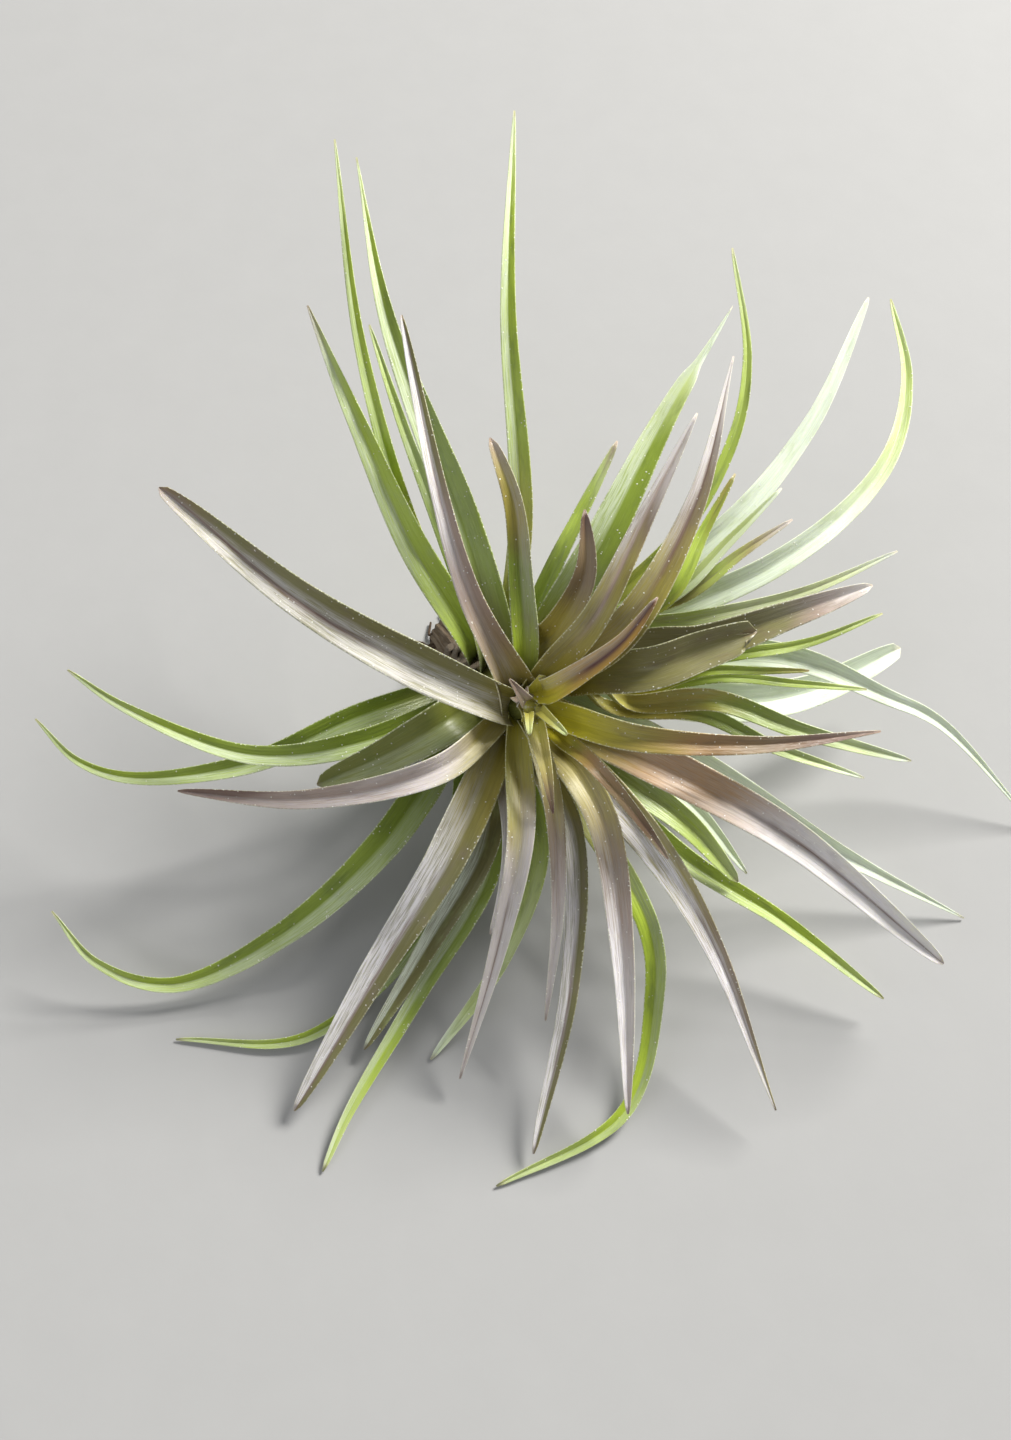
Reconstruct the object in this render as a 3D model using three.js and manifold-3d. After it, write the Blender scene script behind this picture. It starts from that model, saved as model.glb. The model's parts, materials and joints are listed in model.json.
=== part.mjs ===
// An air plant: a rosette of long channelled leaves that grow from a short bent stem, with a smaller fan of
// leaves on a side shoot. The plant lies free on a surface, on its stump and on a few leaf tips.
//
// The rosette has a frame of its own: x to the right, y to the back and z along the rosette's axis, with the
// origin in the middle of the crown, where the leaves open out. The rosette leans forward, so that frame is
// turned about x and lifted off the surface. The part's own frame has +z up and its origin under the stump.
import * as THREE from "three";
import { mergeVertices } from "three/addons/utils/BufferGeometryUtils.js";
import Module from "manifold-3d";

const wasm = await Module();
wasm.setup();

// Driving dimensions, in millimetres.
const LEAN = THREE.MathUtils.degToRad(26); // the rosette's axis, from the upright
const CROWN_HEIGHT = 35; // the middle of the crown above the surface
const SEAT_GAP = 0.3; // between a leaf's foot and the stem
const REST_GAP = 0.03; // under the tip of a resting leaf
const STEM = {
  footX: -12,
  footY: 13,
  footRadius: 4.5,
  radius: 6.5,
  tipRadius: 1.2,
  tipZ: -5, // the growing tip, under the middle of the crown
  bend: 1.6, // how late the stem leaves the rosette's axis on its way down
  tipX: 2.4, // the growing tip beside that axis
  tipY: -1.1,
  tipBend: 0.7, // share of the stem from which it bends there
  fullness: 0.7, // how fast it swells from either end
  levelEnd: 0.33, // share of the length over which its sections turn from level to square
};
const SHOOT = { from: [1, 4, -21], to: [18, 6, -13], radius: 3.2, tipRadius: 1.4 };
const LEAF = {
  thickness: 0.75, // in the middle of the blade
  edge: 0.6, // at the margins
  tipWidth: 1.1,
  fold: 0.42, // depth of the channel over half the width
  rise: THREE.MathUtils.degToRad(40), // above square to the stem, where the leaf leaves it
  lead: 5, // length over which it keeps that direction, and the most of the way to its first point
  leadShare: 0.3,
  flare: 0.12, // share of the length over which a flared foot narrows
  waist: 0.6, // share of the width that the foot starts with
  waistEnd: 0.16, // share of the length over which it reaches the full width
  turnEnd: 0.33, // share of the length over which its hollow turns to the rosette's axis
};
const STATION_STEP = 10; // length of leaf between sections
const LEAST_STATIONS = 6;
const ACROSS = 3; // facets across a leaf
const STEM_SIDES = 16;
const STEM_RINGS = 9;
const HUSK = {
  reach: 6,
  spread: 1.4, // how far its tip stands off the stem
  sunk: 0.8, // how deep its foot lies in the stem
  width: 6.5,
  taper: 0.35,
};
const BUD = { radius: 1.5, sides: 12, rings: 8 }; // at the growing tip, from which the innermost leaves grow
const COLLAR = { share: 0.12, radius: 0.8, sides: 6 }; // of dried root bases round the stump
const ROOT = {
  count: 7,
  length: 7,
  shorter: 0.3, // share by which every other strand is shorter
  radius: 0.5,
  sides: 6,
  steps: 10,
  drop: 2, // reach over which a strand comes down
  curl: 1.5,
  clear: 0.2, // above the surface
};
const ROUGHNESS = 0.7;

const TONES = {
  green: 0x6a8640,
  pale: 0xb4c097,
  bronze: 0x7f6b58,
  silver: 0xa9a99f,
};
const STEM_TONE = 0x6b5a3a;
const ROOT_TONE = 0x4c3a29;

// A leaf's name, tone, seat, width where it leaves the stem, how the width follows the way left to the tip (1
// is a straight taper, less is blunter) and midrib in the rosette's frame, tip last. A seat on the stem is a
// depth below the middle of the crown, and one on the shoot is the share of the way along it.
const leaf = (name, tone, seat, width, taper, ...path) => ({ name, tone, seat, width, taper, path });

const UPPER = [
  leaf("upper_01", "green", 30.5, 4, 0.8, [-17, 28, -16], [-26, 60, -12], [-31, 97, -16]),
  leaf("upper_02", "green", 18, 9.5, 1.2, [-9, 30, -8], [-21, 63, -7], [-27, 93, -14]),
  leaf("upper_03", "green", 27, 3.5, 0.6, [-13, 31, -13], [-19, 47, -14], [-25, 65, -16]),
  leaf("upper_04", "pale", 23, 5.5, 0.8, [-17, 26, -12], [-26, 46, -12], [-36, 69, -18]),
  leaf("upper_05", "silver", 8, 4, 0.5, [-7, 16, 3], [-12, 33, 5], [-18, 61, 2]),
  leaf("upper_06", "green", 24.5, 5, 0.75, [1, 30, -10], [-1, 64, -6], [0, 101, -14]),
  leaf("upper_07", "bronze", 11.7, 5, 0.38, [1, 20, -3], [0, 31, 0], [-4, 42, 0]),
];
const LEFT = [
  leaf("left_01", "green", 24.5, 7.5, 0.8,
    [-22, -24, -11], [-40, -40, -12], [-58, -48, -12], [-70, -44, -10], [-77, -35, -8]),
  leaf("left_02", "green", 30.5, 6, 0.8,
    [-28, -3, -17], [-47, -11, -15], [-65, -13, -12], [-73, -10, -9], [-79, -3, -6]),
  leaf("left_03", "green", 23, 5.5, 0.7, [-26, -7, -12], [-45, -9, -11], [-65, -1, -8], [-73, 5, -4]),
  leaf("left_04", "silver", 11, 5.5, 0.6, [-12, -11, 1], [-33, -16, -2], [-56, -15, -8]),
  leaf("left_05", "silver", 10, 8, 0.4, [-17, 6, 3], [-34, 16, 5], [-57, 34, 0]),
  leaf("left_06", "green", 16, 8.5, 0.4, [-12, -4, -6], [-21, -9, -7], [-33, -14, -9]),
];
const LOWER = [
  leaf("lower_01", "green", 17, 4.8, 0.55, [22, -37, -6], [23, -50, -6], [18, -67, -4], [-3, -78, 0]),
  leaf("lower_02", "silver", 9.1, 6.5, 0.6, [10, -12, 0], [14, -20, 2], [17, -40, 2], [18, -66, 1]),
  leaf("lower_03", "silver", 14.5, 5, 0.5, [9, -21, -4], [9, -46, -4], [3, -73, -1]),
  leaf("lower_04", "bronze", 6.2, 4, 0.7, [6, -16, 1], [7, -32, 0], [5, -52, -3]),
  leaf("lower_05", "bronze", 10, 6, 0.8, [1, -21, 1], [-2, -37, -1], [-9, -62, -5]),
  leaf("lower_06", "silver", 15, 3.5, 0.6, [-1, -23, -3], [-2, -31, -3], [-4, -38, -3]),
  leaf("lower_07", "green", 19, 4.5, 0.5, [4, -25, -9], [-2, -43, -9], [-14, -60, -9]),
  leaf("lower_08", "pale", 22, 4.5, 0.5, [-4, -28, -11], [-16, -49, -9], [-27, -67, -4], [-31, -76, -1]),
  leaf("lower_09", "pale", 17, 6, 0.5, [-5, -24, -7], [-14, -40, -8], [-25, -58, -8]),
  leaf("lower_10", "silver", 12.5, 8, 0.5, [-10, -23, -2], [-23, -45, -4], [-36, -67, -4]),
  leaf("lower_11", "green", 30.5, 4, 0.6, [-13, -35, -15], [-34, -56, -10], [-57, -57, -10]),
];
const RIGHT = [
  leaf("right_01", "green", 20, 4, 0.5, [7, 23, -7], [12, 33, -7], [17, 43, -7]),
  leaf("right_02", "green", 16.5, 9, 0.8, [12, 22, -5], [25, 47, -8], [37, 67, -12]),
  leaf("right_03", "bronze", 15.3, 6, 0.6, [7, 12, -4], [11, 20, 1], [11, 30, 3]),
  leaf("right_04", "bronze", 9, 6, 0.7, [12, 12, 6], [20, 28, 8], [28, 44, 8]),
  leaf("right_05", "bronze", 10.2, 8.5, 1, [17, 11, 4], [28, 30, 4], [35, 55, 0]),
  leaf("right_06", "green", 22, 3.4, 0.6, [27, 27, -13], [37, 44, -13], [40, 59, -15], [38, 79, -18]),
  leaf("right_07", "pale", 33.5, 5.5, 0.5, [33, 27, -17], [51, 47, -20], [64, 73, -26]),
  leaf("right_08", "pale", 27.5, 6, 0.6, [44, 23, -16], [65, 41, -22], [72, 59, -30], [71, 76, -36]),
  leaf("right_09", "bronze", 14.2, 8, 0.18, [22, 5, 0], [30, 8, 0], [39, 11, -1]),
  leaf("right_10", "pale", 36.5, 7.5, 0.3, [33, -1, -22], [53, 1, -26], [71, 10, -30]),
  leaf("right_11", "pale", 31, 8.5, 1.1, [46, 8, -17], [65, 1, -20], [76, -4, -23], [95, -23, -27]),
  leaf("right_12", "bronze", 5.5, 6, 0.8, [19, -6, 8], [38, -7, 7], [58, -5, 2]),
  leaf("right_13", "pale", 26, 9, 0.95, [31, -11, -11], [56, -26, -16], [79, -38, -20]),
  leaf("right_14", "silver", 10.5, 8.3, 0.45, [22, -10, 3], [44, -22, 2], [70, -43, -4]),
  leaf("right_15", "green", 20, 5, 0.5, [28, -26, -8], [45, -37, -10], [62, -50, -10]),
  leaf("right_16", "green", 15, 7, 0.45, [20, -14, -6], [29, -21, -5], [37, -30, -7]),
  leaf("right_17", "pale", 17.5, 5, 0.6, [25, -14, -8], [31, -19, -9], [39, -29, -10]),
  leaf("right_18", "green", 6.5, 3.5, 0.5, [12, -10, 5], [18, -17, 6], [24, -25, 4]),
  leaf("right_19", "silver", 12, 9, 1, [21, -22, 0], [32, -40, -1], [42, -66, -1]),
  leaf("right_20", "green", 12, 4, 0.3, [11, 8, -5], [13, 13, -3], [16, 17, -3]),
  leaf("right_21", "bronze", 7, 5, 0.6, [5.5, 1.6, 0], [11.5, 5, 4.5], [17, 9.3, 7.5], [21.8, 15.6, 9]),
];
const FAN = [
  leaf("fan_01", "green", 0.7, 4, 0.6, [25, 17, -1], [31, 28, -3], [36, 37, -4]),
  leaf("fan_02", "pale", 0.58, 3.5, 0.6, [27, 18, -5], [35, 26, -5], [44, 35, -6]),
  leaf("fan_03", "bronze", 0.5, 4, 0.6, [29, 18, -6], [37, 24, -6], [46, 30, -7]),
  leaf("fan_04", "silver", 0.45, 3.5, 0.6, [31, 14, -10], [48, 18, -8], [64, 25, -9]),
  leaf("fan_05", "bronze", 0.96, 8, 0.5, [30, 9, -4], [45, 14, -4], [59, 19, -6]),
  leaf("fan_06", "green", 0.4, 3.5, 0.6, [38, 8, -12], [50, 10, -13], [63, 15, -14]),
  leaf("fan_07", "green", 0.74, 2.5, 0.5, [32, 5, -9], [41, 5, -8], [49, 5, -8]),
  leaf("fan_08", "green", 0.62, 2.5, 0.5, [35, 4, -11], [47, 3, -12], [60, 2, -13]),
  leaf("fan_09", "pale", 0.8, 4.5, 0.5, [33, 0, -6], [47, -5, -6], [66, -10, -8]),
  leaf("fan_10", "green", 0.6, 4, 0.6, [31, -2, -10], [44, -8, -10], [59, -13, -11]),
];
const HEART = [
  leaf("heart_1", "bronze", 0, 3.2, 0.9, [0.8, 0.4, 3], [-0.8, 3.2, 5]),
  leaf("heart_2", "green", 0, 1.6, 0.6, [2.2, -3.2, 3], [2.3, -5.6, 5]),
  leaf("heart_3", "green", 0, 1.8, 0.7, [5, -3, 2], [8.2, -5.6, 4]),
  leaf("heart_4", "green", 0, 3, 0.8, [4, -7, 1], [5, -12, 3], [6, -18, 3]),
];
// The stubs of old dried leaves, grown onto the stem: degrees round it, and depth of the foot.
const HUSKS = [
  [70, 38], [108, 36.5], [150, 38], [188, 36], [228, 37], [268, 36], [310, 35],
  [142, 34], [160, 31], [246, 32], [151, 28], [158, 25.5], [150, 22], [60, 32], [288, 29],
];
const FLARES = { upper_05: 4.5 }; // extra width of a foot that shows
// Leaves whose tips lie on the surface.
const RESTING = ["lower_01", "lower_07", "lower_08", "lower_11", "right_11", "right_13"];

const AXIAL = new THREE.Vector3(0, 0, 1);
const UPRIGHT = new THREE.Vector3(0, Math.sin(LEAN), Math.cos(LEAN)); // as the rosette's frame sees it
const depthAtHeight = (y, height) => (height - CROWN_HEIGHT - y * UPRIGHT.y) / UPRIGHT.z;
const across = (v, along) => v.clone().addScaledVector(along, -v.dot(along)).normalize();

// A closed body through loops of points. Each end is capped by strips between the loop's two halves.
function loft(loops) {
  const sides = loops[0].length;
  const faces = [];
  for (let i = 0; i < (loops.length - 1) * sides; i++) {
    const next = i % sides === sides - 1 ? i + 1 - sides : i + 1;
    faces.push(i, next, next + sides, i, next + sides, i + sides);
  }
  const last = (loops.length - 1) * sides;
  for (let j = 0; j < sides / 2 - 1; j++) {
    const [a, b, c, d] = [j, j + 1, sides - 2 - j, sides - 1 - j];
    faces.push(a, c, b, a, d, c);
    faces.push(last + a, last + b, last + c, last + a, last + c, last + d);
  }
  return new THREE.BufferGeometry().setFromPoints(loops.flat()).setIndex(faces);
}

// The stem's axis, from the stump to the growing tip.
class StemAxis extends THREE.Curve {
  getPoint(t, target = new THREE.Vector3()) {
    const bent = (1 - t) ** STEM.bend;
    const depth = THREE.MathUtils.lerp(depthAtHeight(STEM.footY, 0), STEM.tipZ, t);
    const aside = THREE.MathUtils.smoothstep(t, STEM.tipBend, 1);
    return target.set(
      STEM.footX * bent + STEM.tipX * aside,
      STEM.footY * bent + STEM.tipY * aside,
      depth,
    );
  }
  shareAt(depth) {
    const foot = depthAtHeight(STEM.footY, 0);
    return (depth - foot) / (STEM.tipZ - foot);
  }
}

const swell = (t, from, middle, to) => {
  const ends = THREE.MathUtils.lerp(from, to, t);
  return ends + (middle - ends) * Math.sin(Math.PI * t) ** STEM.fullness;
};
const stemAxis = new StemAxis();
const shootAxis = new THREE.LineCurve3(new THREE.Vector3(...SHOOT.from), new THREE.Vector3(...SHOOT.to));
const stemRadius = (t) => swell(t, STEM.footRadius, STEM.radius, STEM.tipRadius);
const shootRadius = (t) => swell(t, SHOOT.radius, SHOOT.radius, SHOOT.tipRadius);

// The sections of a stalk turn from square to `base`, at its foot, to square to its axis.
const ringNormal = (axis, t, base) => axis.getTangent(t)
  .lerp(base, Math.max(0, 1 - t / STEM.levelEnd))
  .normalize();

function stalk(axis, radius, base) {
  const loops = [];
  for (let i = 0; i < STEM_RINGS; i++) {
    const t = i / (STEM_RINGS - 1);
    const along = ringNormal(axis, t, base);
    const right = across(new THREE.Vector3(1, 0, 0), along);
    const back = along.clone().cross(right);
    const loop = [];
    for (let j = 0; j < STEM_SIDES; j++) {
      const turn = (2 * Math.PI * j) / STEM_SIDES;
      const point = axis.getPoint(t).addScaledVector(right, radius(t) * Math.cos(turn));
      loop.push(point.addScaledVector(back, radius(t) * Math.sin(turn)));
    }
    loops.push(loop);
  }
  return loft(loops);
}

// Where a leaf sits: its foot on the stem or the shoot, and the two directions there.
function seatOf({ seat, path }, axis, t, radius) {
  const centre = axis.getPoint(t);
  const along = axis.getTangent(t);
  const out = across(new THREE.Vector3(...path[0]).sub(centre), along);
  const foot = centre.addScaledVector(out, radius + SEAT_GAP + LEAF.thickness / 2);
  return { foot, along, out };
}

// A leaf blade: crescent sections along the midrib, with the hollow side to `hollow`.
function blade(spec, { foot, along, out, rise = LEAF.rise, hollow = AXIAL }) {
  const path = spec.path.map((p) => new THREE.Vector3(...p));
  if (RESTING.includes(spec.name)) {
    const tip = path.at(-1);
    tip.z = depthAtHeight(tip.y, LEAF.thickness / 2 + REST_GAP);
  }
  const leadLength = Math.min(LEAF.lead, LEAF.leadShare * foot.distanceTo(path[0]));
  const lead = foot.clone().addScaledVector(out, leadLength * Math.cos(rise));
  lead.addScaledVector(along, leadLength * Math.sin(rise));
  const midrib = new THREE.CatmullRomCurve3([foot, lead, ...path], false, "centripetal");
  const halfAngle = 2 * Math.atan(LEAF.fold);
  const steps = Math.max(LEAST_STATIONS, Math.ceil(midrib.getLength() / STATION_STEP) + 1);
  const loops = [];
  for (let i = 0; i <= steps; i++) {
    const u = i / steps;
    const centre = midrib.getPointAt(u);
    const tangent = midrib.getTangentAt(u);
    const inner = along.clone().lerp(hollow, Math.min(1, u / LEAF.turnEnd));
    const normal = across(inner, tangent);
    const side = tangent.clone().cross(normal);
    const flare = (FLARES[spec.name] ?? 0) * Math.exp(-u / LEAF.flare);
    const waist = THREE.MathUtils.lerp(LEAF.waist, 1, THREE.MathUtils.smoothstep(u, 0, LEAF.waistEnd));
    const taper = THREE.MathUtils.lerp(LEAF.tipWidth, spec.width, (1 - u) ** spec.taper);
    const width = (taper + flare) * waist;
    const bend = width / 2 / Math.sin(halfAngle) - LEAF.edge / 2;
    const upper = [];
    const lower = [];
    for (let j = 0; j <= ACROSS; j++) {
      const v = (2 * j) / ACROSS - 1;
      const turn = v * halfAngle;
      const half = THREE.MathUtils.lerp(LEAF.thickness, LEAF.edge, v * v) / 2;
      const place = (r) => centre.clone()
        .addScaledVector(side, r * Math.sin(turn))
        .addScaledVector(normal, bend - r * Math.cos(turn))
        .sub(foot);
      upper.push(place(bend - half));
      lower.unshift(place(bend + half));
    }
    loops.push([...upper, ...lower]);
  }
  return loft(loops);
}

// The stub of a dried leaf, which hugs the stem that it grows from.
function husk([turn, depth]) {
  const t = stemAxis.shareAt(-depth);
  const along = stemAxis.getTangent(t);
  const angle = THREE.MathUtils.degToRad(turn);
  const out = across(new THREE.Vector3(Math.cos(angle), Math.sin(angle), 0), along);
  const foot = stemAxis.getPoint(t).addScaledVector(out, stemRadius(t) - HUSK.sunk);
  const at = (share) => foot.clone()
    .addScaledVector(along, HUSK.reach * share)
    .addScaledVector(out, HUSK.sunk + HUSK.spread * share);
  const spec = { width: HUSK.width, taper: HUSK.taper, path: [[...at(0.5)], [...at(1)]] };
  const seat = { foot, along: out.clone().negate(), out: along, rise: 0, hollow: out.clone().negate() };
  return solidOf(blade(spec, seat).translate(...foot));
}

function stem() {
  const shoot = solidOf(stalk(shootAxis, shootRadius, shootAxis.getTangent(0)));
  const bare = solidOf(stalk(stemAxis, stemRadius, UPRIGHT)).add(shoot);
  return geometryOf(HUSKS.reduce((body, place) => body.add(husk(place)), bare));
}

function mesh(name, geometry, colour, position) {
  const flat = geometry.toNonIndexed();
  flat.computeVertexNormals();
  const material = new THREE.MeshStandardMaterial({ color: colour, roughness: ROUGHNESS, metalness: 0 });
  const made = new THREE.Mesh(flat, material);
  made.name = name;
  made.position.copy(position);
  return made;
}

// Solids join through their merged vertices.
function solidOf(geometry) {
  const plain = new THREE.BufferGeometry().setAttribute("position", geometry.getAttribute("position"));
  const merged = mergeVertices(plain.setIndex(geometry.index));
  const vertProperties = merged.getAttribute("position").array;
  const triVerts = new Uint32Array(merged.index.array);
  return new wasm.Manifold(new wasm.Mesh({ numProp: 3, vertProperties, triVerts }));
}

function geometryOf(solid) {
  const { vertProperties, triVerts } = solid.getMesh();
  const geometry = new THREE.BufferGeometry();
  geometry.setAttribute("position", new THREE.BufferAttribute(vertProperties, 3));
  return geometry.setIndex(new THREE.BufferAttribute(triVerts, 1));
}

const rosette = new THREE.Group();
rosette.rotation.x = LEAN;
rosette.position.copy(stemAxis.getPoint(0)).applyEuler(rosette.rotation).negate();

const origin = new THREE.Vector3();
rosette.add(mesh("stem", stem(), STEM_TONE, origin));

const bud = stemAxis.getPoint(1);
bud.z += SEAT_GAP + BUD.radius;
const budBody = new THREE.SphereGeometry(BUD.radius, BUD.sides, BUD.rings).translate(...bud);
const heart = HEART.reduce((body, spec) => {
  const out = across(new THREE.Vector3(...spec.path[0]).sub(bud), AXIAL);
  const foot = bud.clone().addScaledVector(out, BUD.radius / 2);
  return body.add(solidOf(blade(spec, { foot, along: AXIAL, out }).translate(...foot)));
}, solidOf(budBody));
rosette.add(mesh("heart", geometryOf(heart), TONES.bronze, origin));

for (const spec of [...UPPER, ...LEFT, ...LOWER, ...RIGHT]) {
  const t = stemAxis.shareAt(-spec.seat);
  const seat = seatOf(spec, stemAxis, t, stemRadius(t));
  rosette.add(mesh(spec.name, blade(spec, seat), TONES[spec.tone], seat.foot));
}
for (const spec of FAN) {
  const seat = seatOf(spec, shootAxis, spec.seat, shootRadius(spec.seat));
  rosette.add(mesh(spec.name, blade(spec, seat), TONES[spec.tone], seat.foot));
}

// Old wiry roots: a collar round the stump, and strands that drop from it and run along the surface.
function roots() {
  const centre = rosette.localToWorld(stemAxis.getPoint(COLLAR.share));
  const normal = ringNormal(stemAxis, COLLAR.share, UPRIGHT).transformDirection(rosette.matrixWorld);
  const tilt = new THREE.Quaternion().setFromUnitVectors(AXIAL, normal);
  const ringRadius = stemRadius(COLLAR.share) + SEAT_GAP + COLLAR.radius;
  const collar = new THREE.TorusGeometry(ringRadius, COLLAR.radius, COLLAR.sides, STEM_SIDES);
  const section = new THREE.Shape().absarc(0, 0, ROOT.radius, 0, 2 * Math.PI);
  let body = solidOf(collar.applyQuaternion(tilt).translate(...centre));
  for (let i = 0; i < ROOT.count; i++) {
    const turn = (2 * Math.PI * i) / ROOT.count;
    const side = new THREE.Vector3(-Math.sin(turn), Math.cos(turn), 0);
    const at = (reach, height, aside) => new THREE.Vector3(Math.cos(turn), Math.sin(turn), 0)
      .multiplyScalar(reach)
      .addScaledVector(side, aside)
      .add(new THREE.Vector3(centre.x, centre.y, height));
    const start = new THREE.Vector3(Math.cos(turn), Math.sin(turn), 0).multiplyScalar(ringRadius);
    start.applyQuaternion(tilt).add(centre);
    const low = ROOT.radius + ROOT.clear;
    const length = ROOT.length * (1 - ROOT.shorter * (i % 2));
    const path = new THREE.CatmullRomCurve3([
      start,
      at(ringRadius + ROOT.drop, low + ROOT.clear, 0),
      at(ringRadius + length / 2, low, ROOT.curl),
      at(ringRadius + length, low, -ROOT.curl),
    ]);
    body = body.add(solidOf(new THREE.ExtrudeGeometry(section, {
      steps: ROOT.steps,
      curveSegments: ROOT.sides / 2,
      bevelEnabled: false,
      extrudePath: path,
    })));
  }
  const clearance = stalk(stemAxis, (t) => stemRadius(t) + SEAT_GAP, UPRIGHT);
  return geometryOf(body.subtract(solidOf(clearance.applyMatrix4(rosette.matrixWorld))));
}

const plant = new THREE.Group();
plant.add(rosette);
plant.updateMatrixWorld(true);
plant.add(mesh("roots", roots(), ROOT_TONE, origin));
export default plant;
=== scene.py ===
"""An air plant: a leaning rosette of long channelled leaves, with a fan of leaves on a side shoot.

The leaves, the stem and the roots are fine meshes here, each in the place of its plain solid in the frame.
Lengths are millimetres in the rosette's own frame: x to the right, y to the back and z along the rosette's
axis, with the origin in the middle of the crown. A finished mesh is in metres in the part's frame, which has
+z up and its origin under the stump.
"""

import json
import math

import bpy
import numpy as np
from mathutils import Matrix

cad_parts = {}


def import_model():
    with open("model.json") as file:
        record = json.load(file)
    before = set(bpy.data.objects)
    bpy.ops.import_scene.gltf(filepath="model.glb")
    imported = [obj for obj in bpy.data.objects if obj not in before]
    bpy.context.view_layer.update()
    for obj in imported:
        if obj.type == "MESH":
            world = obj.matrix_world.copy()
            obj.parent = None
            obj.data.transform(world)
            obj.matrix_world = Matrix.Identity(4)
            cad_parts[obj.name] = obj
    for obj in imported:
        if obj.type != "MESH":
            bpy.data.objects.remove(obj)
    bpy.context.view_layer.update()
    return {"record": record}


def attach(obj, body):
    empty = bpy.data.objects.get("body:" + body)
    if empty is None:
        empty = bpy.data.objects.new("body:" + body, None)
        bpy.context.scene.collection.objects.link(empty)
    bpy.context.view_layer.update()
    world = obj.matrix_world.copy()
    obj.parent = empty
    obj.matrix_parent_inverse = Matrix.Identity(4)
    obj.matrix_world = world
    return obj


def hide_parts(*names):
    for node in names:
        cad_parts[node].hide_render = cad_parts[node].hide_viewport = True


MM = 0.001
AXIAL = np.array([0.0, 0.0, 1.0])

# The rosette in the frame. Ridges along a round body are given by their depth, as a share of its radius, and
# their number. A seed sets where ridges and noise lie.
LEAN = math.radians(26)
CROWN_HEIGHT = 35.0
SEAT_GAP = 0.3
REST_GAP = 0.03
STEM = {
    "foot": (-12.0, 13.0), "tip": -5.0, "bend": 1.6, "radii": (4.5, 6.5, 1.2), "fullness": 1.1,
    "rings": 60, "sides": 72, "seed": 1, "ridges": (0.045, 17),
}
STEM_LIVES = (0.55, 0.8)  # shares of the stem between which its dry bark turns green
HEART_AT = np.array([2.4, -1.1])  # the growing tip's place beside the crown's middle
HEART_FROM = 0.7  # share of the stem from which it bends there
SHOOT = {
    "from": (1.0, 4.0, -21.0), "to": (18.0, 6.0, -13.0), "radii": (3.2, 3.2, 1.4),
    "start": -0.1, "rings": 30, "sides": 40, "seed": 2, "ridges": (0.03, 11),
}
BUD = {"radius": 1.5, "end": 0.02, "rings": 16, "sides": 24, "seed": 7}

# A leaf's midrib and which way its hollow side faces. What ends in FROM_FOOT or FROM_TIP is the shares of the
# length, counted from there, at which a form begins and is full.
STATION_STEP = 1.4  # between sections
LEAST_STATIONS = 24
RISE = math.radians(40)  # of a foot, from square to the stem
LEAD = 5.0  # how far a foot keeps that way at most
LEAD_SHARE = 0.3  # the same, as a share of the way to the midrib's first point
TURN_END = 0.33  # share of the length at which the hollow side no longer faces along the stem
WAVER = math.radians(5)
WAVER_WAVES = 3
WAVER_FROM_FOOT = (0.1, 0.5)
TWIST_RUN = 1.3  # of what is left of the leaf, over which a twist would be full

# A leaf's width.
TIP_WIDTH = 0.3
NARROW_FOOT = 0.75  # share of its width that a leaf has at its foot
NARROW_FAN = 0.45  # the same for the leaves on the shoot
NARROW_END = 0.3
FLARE_SHARE = 0.12
PINCH_RUN = 0.06
UNEVEN = 0.025
UNEVEN_WAVES = 4
UNEVEN_END = 0.2

# A leaf's section.
ACROSS = 22  # facets across each face
CLASP = math.radians(78)  # half angle of the sheath round the stem
CLASP_END = 0.22
FOLD = math.radians(56)  # half angle of the channel
TIP_FOLD = math.radians(68)
TIP_FOLD_START = 0.6
CREASE = 0.8  # from a round channel, 0, to a folded one, 1
CREASE_RADIUS = 0.12
CREASE_FROM_FOOT = (0.04, 0.3)
RUFFLE = 0.16
RUFFLE_WAVES = 4
RUFFLE_LENGTH = 22.0
RUFFLE_WIDTH = 4.0  # a narrower leaf is less ruffled
RUFFLE_POWER = 3  # how closely the ruffle keeps to the margins
RUFFLE_FROM_FOOT = (0.05, 0.25)
RUFFLE_FROM_TIP = (0.0, 0.1)
THICKNESS = 0.8
THIN_TIP = 0.55  # share of the thickness that is lost on the way to the tip
MOST_THICKNESS = 0.55  # share of the width
MARGIN = 0.14  # share of the thickness that is left at the margins
MARGIN_POWER = 2.6  # how closely the thinning keeps to them
SOLID_THICKNESS = 0.75  # of the frame's plain leaf, on which a resting tip lies
RIBS = 7
RIB_HEIGHT = 0.035
RIB_WIDTH = 5.0  # a narrower leaf has lower ribs
RIB_POWER = 4  # how closely their loss keeps to the margins
RIB_FROM_FOOT = (0.03, 0.15)
RIB_FROM_TIP = (0.02, 0.3)
TORN_START = 0.85
NOTCHES = 9.0  # radians of the notches' wave for half the width
NOTCH_SHIFT = 1.5
NOTCH_SHIFTS = 4.0

# A leaf's tint, its silvery film, and the painted sheen on the half of a leaf that faces the light.
MOTTLE = 0.04
MOTTLE_WAVES = 3
MOTTLE_RUN = 2.0
MOTTLE_SLANT = 0.35
FILM_LEAST = 0.15
FILM_START = 0.4  # how much nearer the foot the silvery film begins than where it is full
FADED = 0.9  # how much of a worn film is lost at most
FADE_END = 1.3
# The painted sheen on one half of a leaf blends in over this width.
PAINTED_SHEEN_BORDER = 0.2  # how far from where a leaf's halves meet they differ fully
STRIPE_SWAY = 0.3
STRIPE_WAVES = 2
STRIPE_RUN = 0.25
STRIPE_BARE = 0.7  # how much less silvery a stripe is
BACK_FILM = 0.25  # how much more silvery the underside is

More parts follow.
